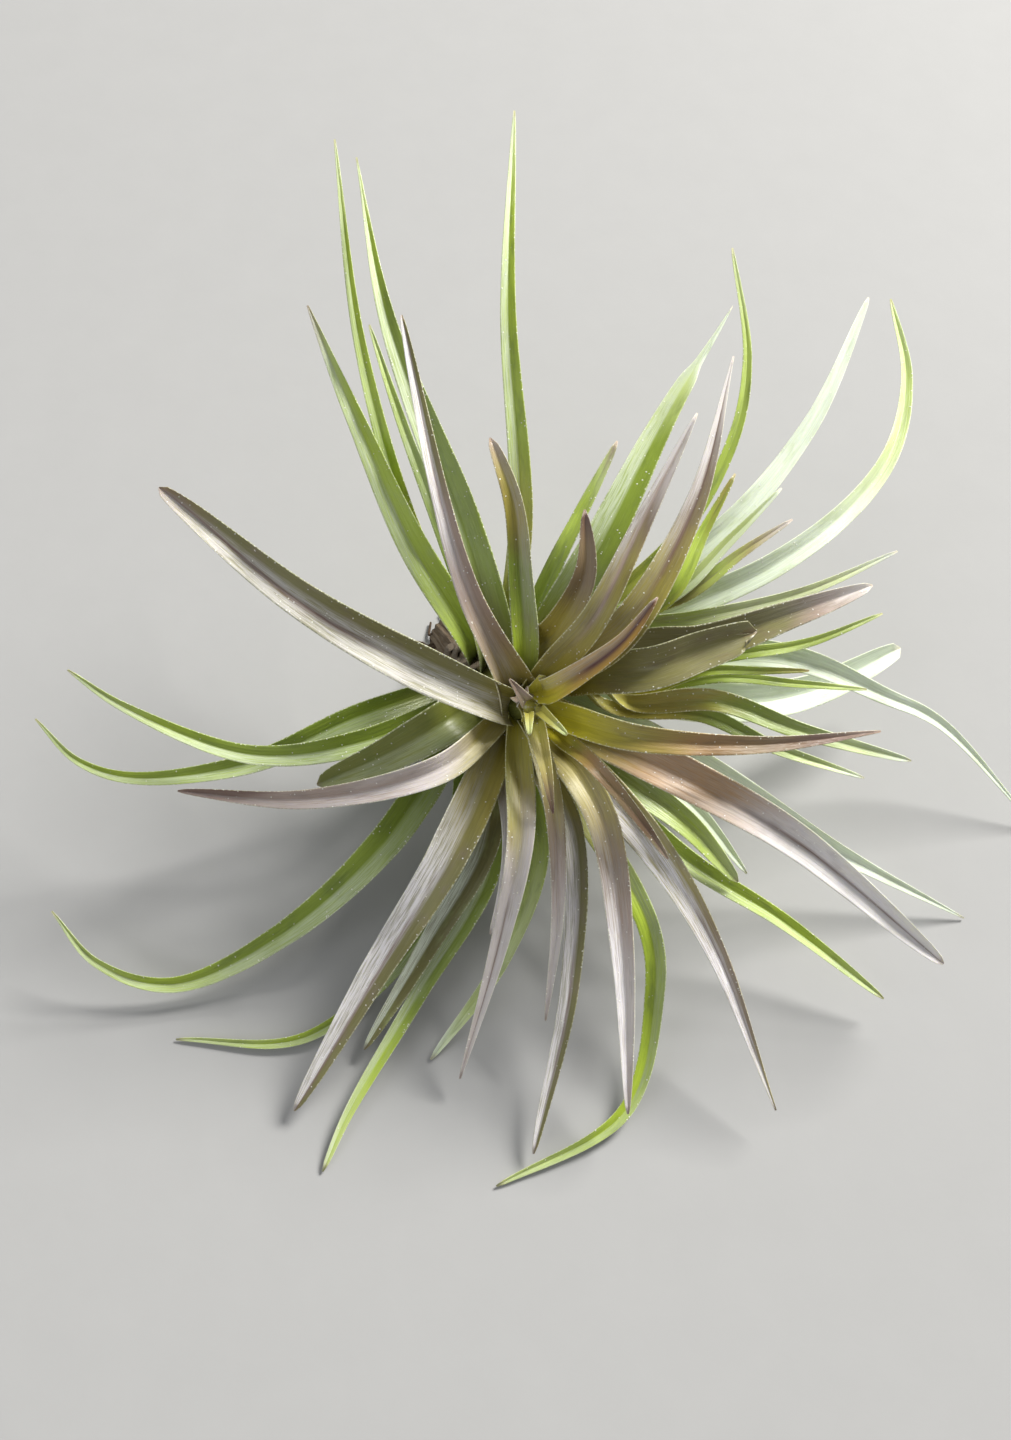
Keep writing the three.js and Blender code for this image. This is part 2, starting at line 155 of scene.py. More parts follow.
# Smooth lines, round bodies and noise.
WAVE_STEP = 0.7  # how often the longest wave of a line comes in its length
CURVE_SAMPLES = 80  # between two points of a path
UPRIGHT = 0.9  # a body whose direction has less of x than this begins its rings at x
RIDGE_SHIFT = 2.0
RIDGE_SHIFTS = 2.0
BODY_RUN = 10.0  # how long a round body is for its noise
NOISE_STEP = 100.0  # from the noise of one part to the next

PALETTE = {
    "lime": 0xC8BE2C,
    "gold": 0xC49A34,
    "leaf": 0xA4BA34,
    "fern": 0x84982E,
    "moss": 0x767C34,
    "olive": 0x9A8E38,
    "sage": 0xBCCB80,
    "bronze": 0x86704E,
    "umber": 0x6A4A38,
    "mauve": 0xA08A7C,
    "silver": 0xC4BAB4,
    "plum": 0x5A3230,
    "peat": 0x74703C,
    "mint": 0xDDE8D2,
    "pear": 0xB6B04A,
    "rime": 0xE2DCD6,
    "clay": 0xA07C4C,
    "bark": 0x6B5534,
    "husk": 0x6C5F4C,
    "root": 0x4A3826,
}

# What a leaf looks like: its colours from foot to tip, evenly spaced, how silvery its scales make it, and the
# share of its length from which they cover it fully.
LOOKS = {
    "grass": (["fern", "pear", "leaf", "leaf", "leaf", "sage"], 0.2, 0.45),
    "fern": (["moss", "fern", "fern", "fern", "leaf", "sage"], 0.35, 0.45),
    "curl": (["moss", "fern", "fern", "fern", "fern", "sage", "mint", "mint"], 0.45, 0.5),
    "blush": (["moss", "leaf", "leaf", "leaf", "leaf", "leaf", "sage", "mauve"], 0.2, 0.45),
    "fade": (["fern", "sage", "mint", "mint", "sage", "leaf", "leaf"], 0.3, 0.45),
    "drab": (["lime", "olive", "peat", "peat", "peat", "peat"], 0.05, 0.45),
    "peat": (["olive", "peat", "peat", "peat", "peat", "mauve", "rime"], 0.4, 0.95),
    "sage": (["fern", "leaf", "leaf", "sage", "sage", "mint"], 0.3, 0.45),
    "hoar": (["pear", "olive", "olive", "fern", "fern", "sage", "mint"], 0.35, 0.85),
    "mint": (["leaf", "sage", "mint", "mint", "mint", "mint", "mint"], 0.6, 0.3),
    "moss": (["moss", "moss", "moss", "moss", "moss", "moss"], 0.2, 0.45),
    "olive": (["moss", "olive", "leaf", "olive", "leaf", "olive", "silver"], 0.2, 0.7),
    "bronze": (["lime", "lime", "olive", "clay", "bronze", "umber", "mauve"], 0.05, 0.9),
    "dusk": (["lime", "olive", "olive", "olive", "bronze", "silver", "rime"], 0.8, 0.8),
    "amber": (["lime", "lime", "gold", "gold", "umber"], 0.1, 0.45),
    "bud": (["pear", "pear", "pear", "sage"], 0.0, 0.45),
    "bract": (["olive", "mauve", "mauve", "mauve", "umber"], 0.3, 0.45),
    "plum": (["olive", "olive", "olive", "olive", "bronze", "bronze", "plum"], 0.05, 0.45),
    "russet": (["moss", "leaf", "fern", "fern", "olive", "olive", "mauve"], 0.2, 0.45),
    "mauve": (["lime", "olive", "olive", "bronze", "mauve", "silver", "silver", "mauve"], 0.75, 0.7),
    "pewter": (["olive", "olive", "peat", "peat", "peat", "peat", "peat"], 0.6, 0.55),
    "ash": (["olive", "peat", "peat", "peat", "peat", "peat", "bronze"], 0.3, 0.25),
    "sheen": (["lime", "olive", "olive", "olive", "bronze", "bronze", "olive"], 0.8, 0.4),
    # Painted highlight: right_14's outer part is painted rime, lighter than the scales' own silver, standing
    # for a sheen the lights don't give it.
    "frost": (["lime", "olive", "clay", "clay", "silver", "rime", "rime", "rime"], 1.0, 0.8),
    "lilac": (["olive", "olive", "silver", "mauve", "mauve", "umber", "umber"], 0.5, 0.5),
    "silver": (["lime", "pear", "olive", "silver", "silver", "silver", "silver", "mauve"], 0.9, 0.6),
    "rose": (["olive", "bronze", "mauve", "mauve", "peat", "peat", "peat"], 0.45, 0.65),
    "lime": (["lime", "lime", "leaf", "leaf", "olive"], 0.1, 0.45),
    "heart": (["pear", "pear", "olive", "olive", "bronze", "plum"], 0.1, 0.45),
}

# A leaf's node, look, seat, width where it leaves the stem, how the width follows the way left to the tip and
# midrib, tip last. A seat on the stem is a depth below the middle of the crown, and one on the shoot is the
# share of the way along it.
LEAVES = [
    ("upper_01", "grass", 30.5, 4, 0.8, (-17, 28, -16), (-26, 60, -12), (-31, 97, -16)),
    ("upper_02", "fern", 18, 9.5, 1.2, (-9, 30, -8), (-21, 63, -7), (-27, 93, -14)),
    ("upper_03", "fern", 27, 3.5, 0.6, (-13, 31, -13), (-19, 47, -14), (-25, 65, -16)),
    ("upper_04", "blush", 23, 7.2, 0.8, (-17, 26, -12), (-26, 46, -12), (-36, 69, -18)),
    ("upper_05", "rose", 8, 4, 0.5, (-7, 16, 3), (-12, 33, 5), (-18, 61, 2)),
    ("upper_06", "grass", 24.5, 5, 0.75, (1, 30, -10), (-1, 64, -6), (0, 101, -14)),
    ("upper_07", "russet", 11.7, 5, 0.38, (1, 20, -3), (0, 31, 0), (-4, 42, 0)),
    ("left_01", "fern", 24.5, 7.5, 0.8,
     (-22, -24, -11), (-40, -40, -12), (-58, -48, -12), (-70, -44, -10), (-77, -35, -8)),
    ("left_02", "fern", 30.5, 6, 0.8,
     (-28, -3, -17), (-47, -11, -15), (-65, -13, -12), (-73, -10, -9), (-79, -3, -6)),
    ("left_03", "fern", 23, 5.5, 0.7, (-26, -7, -12), (-45, -9, -11), (-65, -1, -8), (-73, 5, -4)),
    ("left_04", "lilac", 11, 5.5, 0.6, (-12, -11, 1), (-33, -16, -2), (-56, -15, -8)),
    ("left_05", "ash", 10, 8, 0.4, (-17, 6, 3), (-34, 16, 5), (-57, 34, 0)),
    ("left_06", "moss", 16, 8.5, 0.4, (-12, -4, -6), (-21, -9, -7), (-33, -14, -9)),
    ("lower_01", "grass", 17, 4.8, 0.55, (22, -37, -6), (23, -50, -6), (18, -67, -4), (-3, -78, 0)),
    ("lower_02", "mauve", 9.1, 6.5, 0.6, (10, -12, 0), (14, -20, 2), (17, -40, 2), (18, -66, 1)),
    ("lower_03", "pewter", 14.5, 5, 0.5, (9, -21, -4), (9, -46, -4), (3, -73, -1)),
    ("lower_04", "mauve", 6.2, 4, 0.7, (6, -16, 1), (7, -32, 0), (5, -52, -3)),
    ("lower_05", "silver", 10, 6, 0.8, (1, -21, 1), (-2, -37, -1), (-9, -62, -5)),
    ("lower_06", "silver", 15, 3.5, 0.6, (-1, -23, -3), (-2, -31, -3), (-4, -38, -3)),
    ("lower_07", "sage", 19, 4.5, 0.5, (4, -25, -9), (-2, -43, -9), (-14, -60, -9)),
    ("lower_08", "fern", 22, 4.5, 0.5, (-4, -28, -11), (-16, -49, -9), (-27, -67, -4), (-31, -76, -1)),
    ("lower_09", "pewter", 17, 6, 0.5, (-5, -24, -7), (-14, -40, -8), (-25, -58, -8)),
    ("lower_10", "pewter", 12.5, 8, 0.5, (-10, -23, -2), (-23, -45, -4), (-36, -67, -4)),
    ("lower_11", "fern", 30.5, 4, 0.6, (-13, -35, -15), (-34, -56, -10), (-57, -57, -10)),
    ("right_01", "blush", 20, 4, 0.5, (7, 23, -7), (12, 33, -7), (17, 43, -7)),
    ("right_02", "curl", 16.5, 9, 0.8, (12, 22, -5), (25, 47, -8), (37, 67, -12)),
    ("right_03", "plum", 15.3, 7.2, 0.6, (7, 12, -4), (11, 20, 1), (11, 30, 3)),
    ("right_04", "dusk", 9, 6, 0.7, (12, 12, 6), (20, 28, 8), (28, 44, 8)),
    ("right_05", "dusk", 10.2, 8.5, 1, (17, 11, 4), (28, 30, 4), (35, 55, 0)),
    ("right_06", "grass", 22, 3.4, 0.6, (27, 27, -13), (37, 44, -13), (40, 59, -15), (38, 79, -18)),
    ("right_07", "mint", 33.5, 5.5, 0.5, (33, 27, -17), (51, 47, -20), (64, 73, -26)),
    ("right_08", "fade", 27.5, 6, 0.6, (44, 23, -16), (65, 41, -22), (72, 59, -30), (71, 76, -36)),
    ("right_09", "drab", 14.2, 8, 0.18, (22, 5, 0), (30, 8, 0), (39, 11, -1)),
    ("right_10", "mint", 36.5, 9, 0.3, (33, 0, -22), (53, 2, -26), (71, 10, -30)),
    ("right_11", "mint", 31, 8.5, 1.1, (46, 8, -17), (65, 1, -20), (76, -4, -23), (95, -23, -27)),
    ("right_12", "bronze", 5.5, 6, 0.8, (19, -6, 8), (38, -7, 7), (58, -5, 2)),
    ("right_13", "mint", 26, 9, 0.95, (31, -11, -11), (56, -26, -16), (79, -38, -20)),
    ("right_14", "frost", 10.5, 8.3, 0.45, (22, -10, 3), (44, -22, 2), (70, -43, -4)),
    ("right_15", "grass", 20, 5, 0.5, (28, -26, -8), (45, -37, -10), (62, -50, -10)),
    ("right_16", "fern", 15, 7, 0.45, (20, -14, -6), (29, -21, -5), (37, -30, -7)),
    ("right_17", "mint", 17.5, 5, 0.6, (25, -14, -8), (31, -19, -9), (39, -29, -10)),
    ("right_18", "bronze", 6.5, 3.5, 0.5, (12, -10, 5), (18, -17, 6), (24, -25, 4)),
    ("right_19", "sheen", 12, 9, 1, (21, -22, 0), (32, -40, -1), (42, -66, -1)),
    ("right_20", "lime", 12, 4, 0.3, (11, 8, -5), (13, 13, -3), (16, 17, -3)),
    ("right_21", "amber", 7, 5, 0.6, (5.5, 1.6, 0), (11.5, 5, 4.5), (17, 9.3, 7.5), (21.8, 15.6, 9)),
    ("fan_01", "lime", 0.7, 4, 0.6, (25, 17, -1), (31, 28, -3), (36, 37, -4)),
    ("fan_02", "sage", 0.58, 3.5, 0.6, (27, 18, -5), (35, 26, -5), (44, 35, -6)),
    ("fan_03", "olive", 0.5, 4, 0.6, (29, 18, -6), (37, 24, -6), (46, 30, -7)),
    ("fan_04", "sage", 0.45, 3.5, 0.6, (31, 14, -10), (48, 18, -8), (64, 25, -9)),
    ("fan_05", "peat", 0.96, 8, 0.5, (30, 9, -4), (45, 14, -4), (59, 19, -6)),
    ("fan_06", "grass", 0.4, 3.5, 0.6, (38, 8, -12), (50, 10, -13), (63, 15, -14)),
    ("fan_07", "lime", 0.74, 2.5, 0.5, (32, 5, -9), (41, 5, -8), (49, 5, -8)),
    ("fan_08", "grass", 0.62, 2.5, 0.5, (35, 4, -11), (47, 3, -12), (60, 2, -13)),
    ("fan_09", "hoar", 0.8, 4.5, 0.5, (33, 0, -6), (47, -5, -6), (66, -10, -8)),
    ("fan_10", "hoar", 0.6, 4, 0.6, (31, -2, -10), (44, -8, -10), (59, -13, -11)),
]
# The small leaves round the bud, in the same way but without a seat.
HEART = [
    ("heart_1", "bract", 4.2, 0.8, (1.6, 0, 2.5), (0.4, 1.6, 4.5), (-0.9, 3.2, 5.5)),
    ("heart_2", "bud", 2.4, 0.5, (2.2, -2.4, 2), (2.2, -4, 4), (2.3, -5.6, 5)),
    ("heart_3", "bud", 2.6, 0.5, (4.4, -2, 1.5), (6.3, -3.8, 3.5), (8.2, -5.6, 4)),
    ("heart_4", "heart", 4.2, 0.8, (4, -7, 1), (5, -12, 3), (6, -18, 3)),
]
FLARES = {"upper_05": 5.5}  # extra width of a foot that shows
FOOT_SHIFTS = {"upper_05": (-1.2, 1.0), "left_05": (0.4, -1.2)}  # how far such a foot stands from its seat
# A stripe along a leaf's fold: its colour, the share of the length at which it starts, and its width as a
# share of half the face.
STRIPES = {
    "right_21": ("plum", 0.3, 0.5), "right_05": ("umber", 0.3, 0.25), "left_05": ("umber", 0.25, 0.18),
    "upper_05": ("umber", 0.35, 0.2), "right_14": ("umber", 0.4, 0.15), "lower_10": ("umber", 0.3, 0.15),
    "lower_05": ("umber", 0.4, 0.2), "lower_03": ("umber", 0.4, 0.2), "right_19": ("umber", 0.4, 0.15),
    "right_04": ("mauve", 0.2, 0.3),
}
# Painted sheen: how much more silvery a leaf's left half is painted than its right one, looking from its foot
# to its tip, for the half that faces the key light.
PAINTED_SHEEN_HALVES = {
    "upper_01": 0.5, "upper_02": 0.7, "upper_04": 0.5, "upper_05": 0.8, "upper_06": 1.0, "upper_07": -0.2,
    "left_01": 0.5, "left_02": 0.5, "left_03": 0.6, "left_04": 0.3, "left_05": 0.3, "left_06": 0.2,
    "lower_01": 0.4, "lower_02": -0.4, "lower_03": -0.7, "lower_05": 0.2, "lower_08": -0.3,
    "lower_09": -0.8, "lower_10": -0.9, "lower_11": 0.4,
    "right_02": 0.8, "right_04": 0.6, "right_05": 0.5, "right_12": 0.1, "right_15": -0.5,
    "right_19": -0.6, "right_21": 0.4, "fan_02": -0.4, "fan_05": 0.3,
}
# Where the two halves of the painted sheen meet across the face, if that isn't in the middle.
PAINTED_SHEEN_MEETS = {"left_05": 0.35, "upper_05": 0.35, "lower_10": -0.25, "lower_03": -0.3, "right_19": -0.4}
FADES = {"left_04": 0.1}  # the share of the length from which the film wears thin again
TWISTS = {"right_02": (0.74, math.radians(60))}  # from this share of the length on, by this much
TORN = {"right_09": 2.2}  # depth of the notches in a torn end
PINCH = {"right_02": (0.78, 0.6)}  # from this share of the length on, to this share of the width
RESTING = ("lower_01", "lower_07", "lower_08", "lower_11", "right_11", "right_13")

# The stubs of old dried leaves: degrees round the stem, and depth of the foot.
HUSKS = [
    (70, 38), (108, 36.5), (150, 38), (188, 36), (228, 37), (268, 36), (310, 35),
    (142, 34), (160, 31), (246, 32), (151, 28), (158, 25.5), (150, 22), (60, 32), (288, 29),
]
HUSK = {"reach": 6.5, "spread": 1.5, "width": 6.5, "taper": 0.35, "sunk": 0.6, "middle": 0.5, "seed": 200}

# The thin roots. Each drops from the stem to the surface and runs along it, with bends where it lands, in the
# middle and at the end. Two numbers are the least and what chance adds, and three are one for each bend.
ROOTS = {
    "count": 19, "seed": 5, "share": 0.12, "clear": 0.1, "scatter": 0.4,
    "length": 8.0, "lengths": (0.55, 0.45), "inset": 0.8, "tops": (0.7, 0.5),
    "drop": 2.0, "middle": 0.6, "heights": (1.2, 0.2, 0.0), "curl": 2.2, "curls": (0.3, 0.6, 0.6),
    "radius": 0.42, "radii": (0.8, 0.4), "thinning": 0.6, "step": 0.5, "rings": 16, "sides": 10,
}

# A leaf's skin. A pattern of noise is how much it is squeezed across and along the leaf, then its scale,
# detail and roughness, and even noise has only the last three.
STREAKS = (4.5, 0.045, 2.2, 4, 0.62)
FINE = (14.0, 0.12, 2.0, 3, 0.6)
PATCHES = (0.8, 0.11, 1.6, 3, 0.55)
BROKEN_RUN = 0.9
BROKEN = (2.0, 4, 0.7)
SPECKS_PER_MM = 2.0
SPECK_CHANCE = 0.95  # a speck is drawn where chance is above this
SPECK_COVER = 0.8
LINED = (0.4, 0.5)  # how much of the streaks shows on a bare leaf, and how much more on a silvery one
# From a low and a high value, to what they become.
SKIN = {
    "blush grows": (0.08, 0.4, 0.0, 1.0),
    "blush": (0.45, 0.75, 0.0, 0.5),
    "dark streaks": (0.4, 0.7, 0.0, 0.9),
    "light streaks": (0.55, 0.8, 0.0, 0.3),
    "worn film": (0.82, 1.1, 0.3, 1.0),
    "speck": (0.14, 0.32, 1.0, 0.0),
    "specks at the margins": (0.75, 1.0, 0.0, 0.4),
    "specks in patches": (0.3, 0.8, -0.08, 0.16),
    "rim": (0.93, 0.99, 0.0, 0.8),
    "broken rim": (0.4, 0.65, 0.05, 1.0),
    "dry tip": (0.97, 1.0, 0.0, 0.45),
}
SHADE = (0.5, 0.5, 0.45, 1)
GLOW = (0.35, 0.36, 0.25, 1)
SPECK = (0.86, 0.86, 0.80, 1)
RIM = (0.78, 0.80, 0.62, 1)
DRY_TIP = (0.42, 0.30, 0.22, 1)
DULLED = 0.3  # how much rougher scales make a leaf
LEAF_RELIEF = {"streaks": 0.7, "specks": 0.5, "fine": 0.35}
LEAF_BUMP = 0.1

# The second colour in a skin's mottling, how much its scales cover, their colour, and its roughness.
SKINS = {
    "leaf_green": ((0.12, 0.17, 0.03, 1), 0.6, (0.64, 0.72, 0.52, 1), 0.34),
    "leaf_pale": ((0.36, 0.45, 0.16, 1), 0.7, (0.78, 0.85, 0.72, 1), 0.38),
    "leaf_bronze": ((0.15, 0.10, 0.05, 1), 0.8, (0.67, 0.64, 0.63, 1), 0.38),
    "leaf_silver": ((0.20, 0.15, 0.12, 1), 0.9, (0.78, 0.76, 0.77, 1), 0.42),
    "heart": ((0.34, 0.30, 0.10, 1), 0.3, (0.56, 0.54, 0.50, 1), 0.5),
}

# Dry fibre: a dark and a light brown, and how much the pattern of its fibres is squeezed across.
DRY = {
    "stem": ((0.06, 0.043, 0.032, 1), (0.22, 0.18, 0.135, 1), 9.0),
    "root": ((0.035, 0.022, 0.014, 1), (0.16, 0.11, 0.07, 1), 3.0),
}
FIBRES = (0.25, 3.0, 5, 0.65)  # the rest of the pattern
STAINS = (260.0, 4, 0.6)
STAIN = (0.045, 0.03, 0.02, 1)
STAIN_RELIEF = 0.5
DRY_BUMP = 0.25
FIBRE = {
    "light": (0.3, 0.7, 0.0, 1.0),
    "stained": (0.45, 0.75, 0.0, 0.65),
    "tinted": (0.0, 1.0, 0.9, 0.35),
    "rough": (0.2, 0.8, 0.95, 0.65),
}

# The camera looks down the rosette's axis. The lights and the floor are in metres in the part's frame.
CAMERA = {"place": (-1.5, -3.2, 205.0), "sensor": 36.0, "lens": 32.0}
LIT = (0.03, 0.0, 0.03)  # the point that the lights face
LIGHTS = {  # place, size, power and colour
    "key": ((1.25, 1.28, 1.25), 0.75, 105.0, (1.0, 0.98, 0.94)),
    "fill": ((-0.5, -0.35, 0.5), 0.5, 1.2, (0.96, 0.98, 1.0)),
}
SKY = {"Color": (0.97, 0.98, 1.0, 1), "Strength": 0.36}
FLOOR_HALF = 2.5
FLOOR_GRAIN = (90.0, 4, 0.6)
FLOOR_COLOURS = ((0.36, 0.36, 0.357, 1), (0.38, 0.38, 0.377, 1))
FLOOR_ROUGH = 0.7
FLOOR_BUMP = 0.04


def smoothstep(x, start, end):
    t = np.clip((x - start) / (end - start), 0, 1)
    return t * t * (3 - 2 * t)


def unit(v):
    return v / np.linalg.norm(v, axis=-1, keepdims=True)


def across(v, along):
    """What is square to `along` in v, with unit length."""
    return unit(v - np.sum(v * along, axis=-1, keepdims=True) * along)


def linear(name):
    """A palette colour as linear red, green and blue."""
    srgb = np.array([(PALETTE[name] >> shift & 255) / 255 for shift in (16, 8, 0)])
    return np.where(srgb > 0.04045, ((srgb + 0.055) / 1.055) ** 2.4, srgb / 12.92)


def wander(rng, u, waves):
    """A smooth line about zero, from a few waves of random place and size."""
    line = np.zeros_like(u)
    for k in range(1, waves + 1):
        line += rng.normal() * np.sin(math.tau * (k * WAVE_STEP * u + rng.random())) / k
    return line


def chance(rng, least, added):
    return least + added * rng.random()


# The rosette's frame.

def depth_at_height(y, height):
    """The z at which a point with this y is so high over the surface."""
    return (height - CROWN_HEIGHT - y * math.sin(LEAN)) / math.cos(LEAN)


FOOT = np.array([*STEM["foot"], depth_at_height(STEM["foot"][1], 0.0)])


def in_part(points):
    """Points of the rosette's frame, in metres in the part's frame."""
    x, y, z = (points - FOOT).T
    turned = [x, y * math.cos(LEAN) - z * math.sin(LEAN), y * math.sin(LEAN) + z * math.cos(LEAN)]
    return np.stack(turned, axis=1) * MM


def stem_point(t):
    bent = (1 - t) ** STEM["bend"]
    sideways = FOOT[:2] * bent + HEART_AT * smoothstep(t, HEART_FROM, 1)
    return np.array([*sideways, FOOT[2] + (STEM["tip"] - FOOT[2]) * t])


def stem_tangent(t):
    step = 1e-4
    return unit(stem_point(min(t + step, 1)) - stem_point(max(t - step, 0)))


def stem_share(depth):
    return (-depth - FOOT[2]) / (STEM["tip"] - FOOT[2])


def shoot_point(t):
    return np.array(SHOOT["from"]) * (1 - t) + np.array(SHOOT["to"]) * t


def swell(t, radii):
    """The radius of the stem or the shoot at a share of its length."""
    first, middle, last = radii
    ends = first + (last - first) * t
    return ends + (middle - ends) * math.sin(math.pi * t) ** STEM["fullness"]


# Meshes. A part is its points, its faces, and for each point the share of the length, the place across the
# face from -1 to 1, the way along the part, the tint, how silvery or dry it is, with a painted sheen on one
# half of a leaf, and how far aside of the middle it is.

def even_curve(points, step, least):
    """Even points on a centripetal Catmull-Rom curve, and its length."""
    p = np.array(points, float)
    p = np.vstack([2 * p[0] - p[1], p, 2 * p[-1] - p[-2]])
    t = np.linspace(0, 1, CURVE_SAMPLES, endpoint=False)[:, None]
    dense = []
    for a, b, c, d in zip(p, p[1:], p[2:], p[3:]):
        before, here, after = (np.linalg.norm(y - x) ** 0.5 for x, y in ((a, b), (b, c), (c, d)))
        leave = ((b - a) / before - (c - a) / (before + here) + (c - b) / here) * here
        arrive = ((c - b) / here - (d - b) / (here + after) + (d - c) / after) * here
        bulge = 3 * (c - b) - 2 * leave - arrive
        dense.append(b + leave * t + bulge * t**2 + (2 * (b - c) + leave + arrive) * t**3)
    dense = np.vstack([*dense, p[-2]])
    run = np.concatenate([[0], np.cumsum(np.linalg.norm(np.diff(dense, axis=0), axis=1))])
    even = np.linspace(0, run[-1], max(least, math.ceil(run[-1] / step)) + 1)
    return np.stack([np.interp(even, run, axis) for axis in dense.T], axis=1), run[-1]


def rings(count, sides):
    """The faces of a body through `count` rings of `sides` points, with both ends closed."""
    faces = []
    for i in range(count - 1):
        a, b = i * sides, (i + 1) * sides
        faces += [(a + j, a + (j + 1) % sides, b + (j + 1) % sides, b + j) for j in range(sides)]
    last = (count - 1) * sides
    for j in range(sides // 2 - 1):
        strip = (j, j + 1, sides - 2 - j, sides - 1 - j)
        faces += [strip[::-1], tuple(last + k for k in strip)]
    return faces


def midrib(name, path, foot, along, out, rise):
    """Even points along the middle of a leaf, and its length."""
    path = np.array(path, float)
    if name in RESTING:
        path[-1][2] = depth_at_height(path[-1][1], SOLID_THICKNESS / 2 + REST_GAP)
    reach = min(LEAD, LEAD_SHARE * np.linalg.norm(path[0] - foot))
    lead = foot + reach * (math.cos(rise) * out + math.sin(rise) * along)
    return even_curve([foot, lead, *path], STATION_STEP, LEAST_STATIONS)


def directions(name, rng, rib, u, along, hollow):
    """At each section, the way along the leaf, out of its hollow side, and across it."""
    tangent = unit(np.gradient(rib, axis=0))
    turned = np.minimum(1, u / TURN_END)
    normal = across(along * (1 - turned) + hollow * turned, tangent)
    side = np.cross(tangent, normal)
    angle = WAVER * wander(rng, u, WAVER_WAVES) * smoothstep(u, *WAVER_FROM_FOOT)
    if name in TWISTS:
        start, turn = TWISTS[name]
        angle += turn * smoothstep(u, start, start + TWIST_RUN * (1 - start))
    cosine, sine = np.cos(angle), np.sin(angle)
    return tangent, normal * cosine + side * sine, side * cosine - normal * sine


def widths(name, rng, u, width, taper):
    """The leaf's width at each section."""
    wide = TIP_WIDTH + (width - TIP_WIDTH) * (1 - u) ** taper
    narrow = NARROW_FAN if name.startswith("fan") else NARROW_FOOT
    wide *= narrow + (1 - narrow) * smoothstep(u, 0, NARROW_END)
    pinched, kept = PINCH.get(name, (1, 1))
    wide *= 1 - (1 - kept) * smoothstep(u, pinched, pinched + PINCH_RUN)
    wide += FLARES.get(name, 0) * np.exp(-u / FLARE_SHARE)
    uneven = wander(rng, u, UNEVEN_WAVES) * smoothstep(u, 0, UNEVEN_END) * (1 - u)
    return wide * (1 + UNEVEN * uneven)


def channel(rng, u, v, wide, length):
    """The bent line across each section, in the middle of the thickness."""
    half = CLASP + (FOLD - CLASP) * smoothstep(u, 0, CLASP_END)
    half += (TIP_FOLD - FOLD) * smoothstep(u, TIP_FOLD_START, 1)
    radius = wide / 2 / np.sin(half)
    crease = CREASE * smoothstep(u, *CREASE_FROM_FOOT)
    fold = np.sqrt(v**2 + CREASE_RADIUS**2) - CREASE_RADIUS
    fold = fold / fold.max()
    x = (1 - crease) * radius * np.sin(v * half) + crease * wide / 2 * v
    z = (1 - crease) * radius * (1 - np.cos(v * half)) + crease * radius * (1 - np.cos(half)) * fold
    free = smoothstep(u, *RUFFLE_FROM_FOOT) * smoothstep(1 - u, *RUFFLE_FROM_TIP)
    free *= np.minimum(1, wide / RUFFLE_WIDTH)
    for edge in (-1, 1):
        ruffle = RUFFLE * wander(rng, u * length / RUFFLE_LENGTH, RUFFLE_WAVES)
        z += ruffle * free * np.clip(edge * v, 0, 1) ** RUFFLE_POWER
    return x, z


def section(rng, u, v, wide, x, z):
    """The ring round each section: the ribbed upper face, and then the lower one backwards."""
    thick = np.minimum(THICKNESS * (1 - THIN_TIP * u), MOST_THICKNESS * wide) / 2
    thick = thick * (MARGIN + (1 - MARGIN) * (1 - np.abs(v) ** MARGIN_POWER))
    ribs = RIB_HEIGHT * np.cos(RIBS * math.pi * v + rng.random()) * (1 - v**RIB_POWER)
    ribs = ribs * smoothstep(u, *RIB_FROM_FOOT) * smoothstep(1 - u, *RIB_FROM_TIP)
    ribs = ribs * np.minimum(1, wide / RIB_WIDTH)
    dx, dz = np.gradient(x, axis=1), np.gradient(z, axis=1)
    size = np.hypot(dx, dz)
    lift = thick + ribs
    ring_x = np.hstack([x - dz / size * lift, (x + dz / size * thick)[:, ::-1]])
    ring_z = np.hstack([z + dx / size * lift, (z - dx / size * thick)[:, ::-1]])
    return ring_x, ring_z


def dress(name, look, rng, share, place):
    """A leaf's tint and how silvery it is at each point, with a painted sheen on the half that faces the
    light.
    """
    colours, scurf, covered = LOOKS[look]
    stops = np.array([linear(colour) for colour in colours])
    knots = np.linspace(0, 1, len(stops))
    shift = share + MOTTLE * wander(rng, share * MOTTLE_RUN + place * MOTTLE_SLANT, MOTTLE_WAVES)
    tint = np.stack([np.interp(shift.ravel(), knots, stop) for stop in stops.T], axis=1)

    grown = FILM_LEAST + (1 - FILM_LEAST) * smoothstep(share, covered - FILM_START, covered)
    grown *= 1 - FADED * smoothstep(share, FADES.get(name, 1), FADE_END)
    # Painted sheen: one half of the leaf is made more silvery, standing for the light that half would catch.
    beside = place - PAINTED_SHEEN_MEETS.get(name, 0)
    silvery = scurf - PAINTED_SHEEN_HALVES.get(name, 0) * smoothstep(np.abs(beside), 0, PAINTED_SHEEN_BORDER) * np.sign(beside)
    silvery *= grown
    if name in STRIPES:
        stripe, start, breadth = STRIPES[name]
        sway = STRIPE_SWAY * wander(rng, share, STRIPE_WAVES) * share
        near = np.exp(-(((place + sway) / breadth) ** 2)) * smoothstep(share, start, start + STRIPE_RUN)
        silvery *= 1 - STRIPE_BARE * near
        near = near.reshape(-1, 1)
        tint = tint * (1 - near) + linear(stripe) * near
    return tint, silvery


